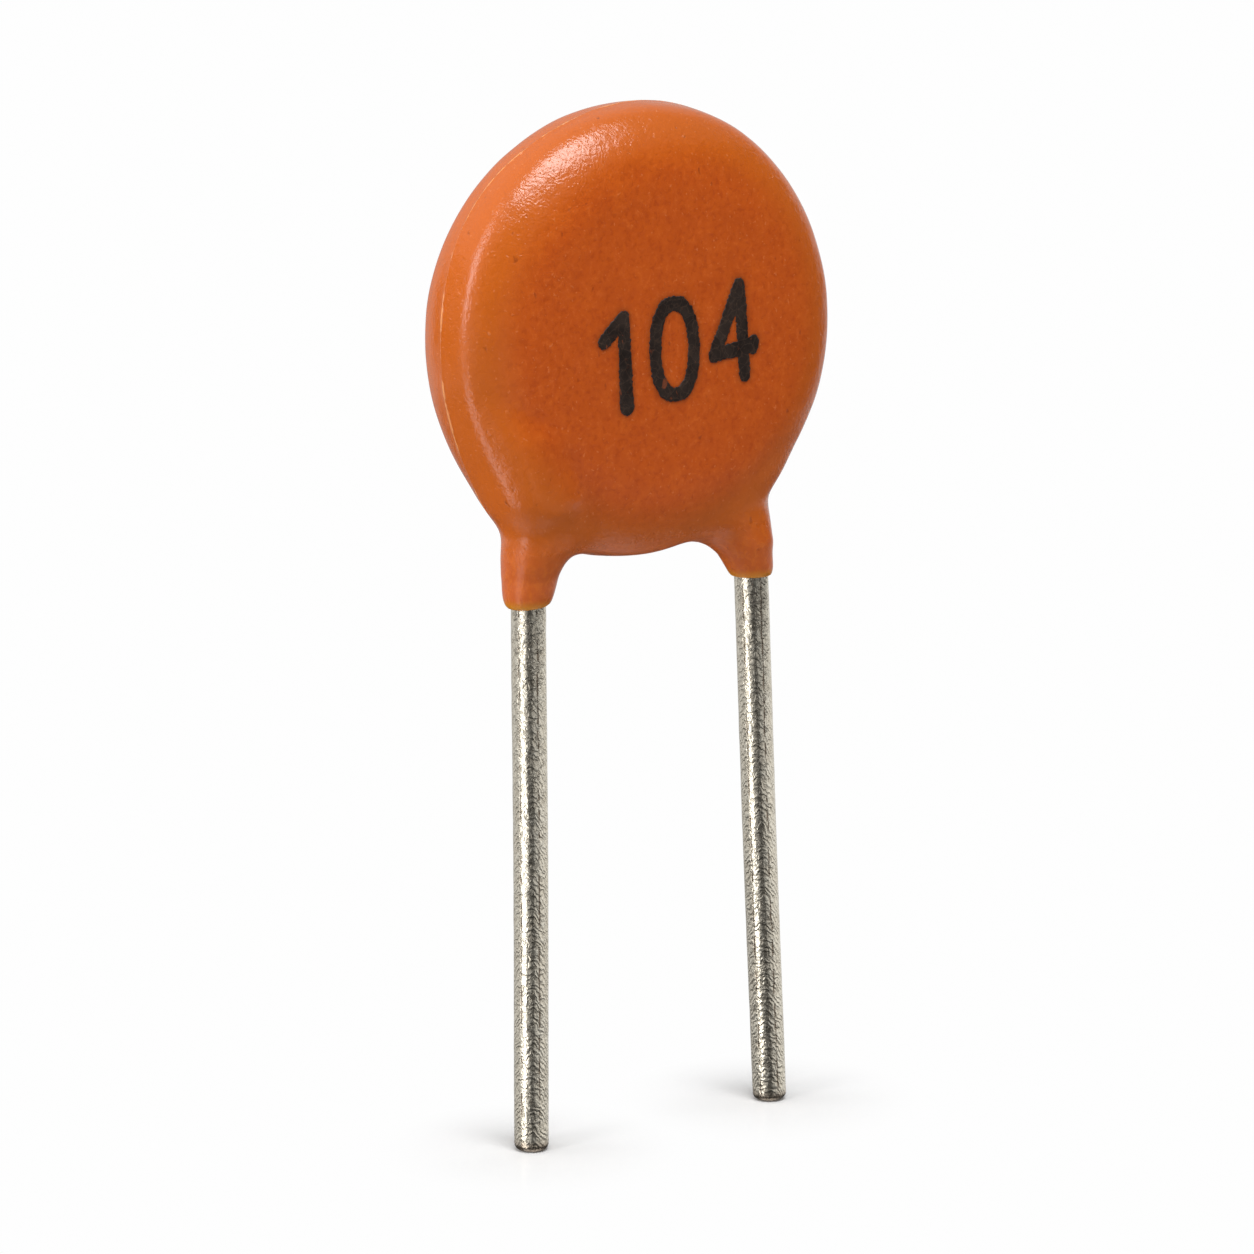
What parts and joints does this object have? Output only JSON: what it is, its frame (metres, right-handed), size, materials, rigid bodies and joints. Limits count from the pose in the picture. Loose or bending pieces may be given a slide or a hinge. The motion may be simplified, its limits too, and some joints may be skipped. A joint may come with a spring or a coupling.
{
  "type": "ceramic disc capacitor",
  "caption": "Radial ceramic disc capacitor: a silvered ceramic blank in a dipped resin coat, with straight tinned wires that solder through a circuit board",
  "frame": {"origin": "on the plane of the two wire tips, straight under the middle of the disc", "axes": "+X runs across the disc from the left wire to the right one, +Z runs from the wire tips up to the disc, and -Y is the side that the marked face looks to"},
  "size_m": [0.008, 0.0022, 0.0184],
  "materials": {
    "resin": "dipped, semi-gloss with a fine orange peel",
    "ceramic": "sintered, matt",
    "silver": "fired silver, satin",
    "solder": "solder, satin",
    "wire": "tinned, drawn, lightly pitted",
    "ink": "printed ink, matt"
  },
  "bodies": {
    "root": {"coating": "resin", "ceramic_disc": "ceramic", "electrode_front": "silver", "electrode_back": "silver", "solder_front": "solder", "solder_back": "solder", "lead_left": "wire", "lead_right": "wire", "marking": "ink"}
  },
  "joints": []
}
